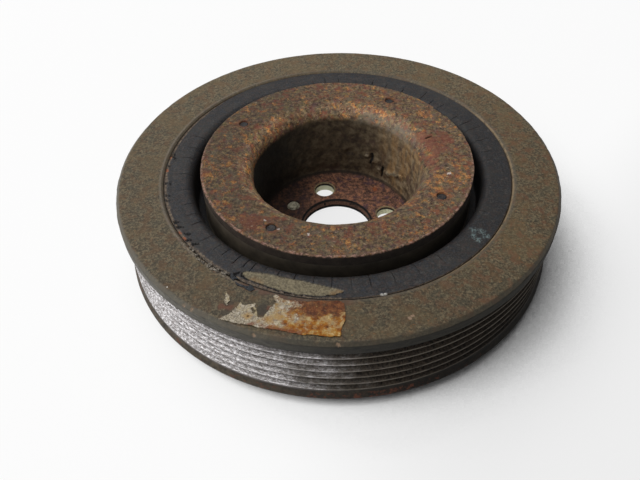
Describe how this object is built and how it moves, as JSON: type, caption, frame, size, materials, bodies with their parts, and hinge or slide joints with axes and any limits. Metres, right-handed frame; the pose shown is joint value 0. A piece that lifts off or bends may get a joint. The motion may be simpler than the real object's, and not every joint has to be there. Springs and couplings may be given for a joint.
{
  "type": "harmonic balancer",
  "caption": "Crankshaft damper pulley: a deep cup hub that bolts on inside, a moulded rubber spring, and a heavy ring grooved for a ribbed belt.",
  "frame": {"origin": "on the crankshaft axis, in the hub's bolting face, which is the lowest face", "axes": "+Z along the crankshaft axis towards the front of the engine; the first bolt hole lies 14 degrees from +X towards +Y"},
  "size_m": [0.165, 0.165, 0.0385],
  "materials": {
    "hub_steel": "bare pressed steel, rusted all over",
    "ring_iron": "oxidised iron, ribs polished by the belt",
    "rubber": "matt black rubber with fine cracks",
    "paper": "torn blank paper, stained by rust"
  },
  "bodies": {
    "root": {"hub": "hub_steel", "pulley_ring": "ring_iron", "rubber_spring": "rubber", "label_remnant": "paper"}
  },
  "joints": []
}
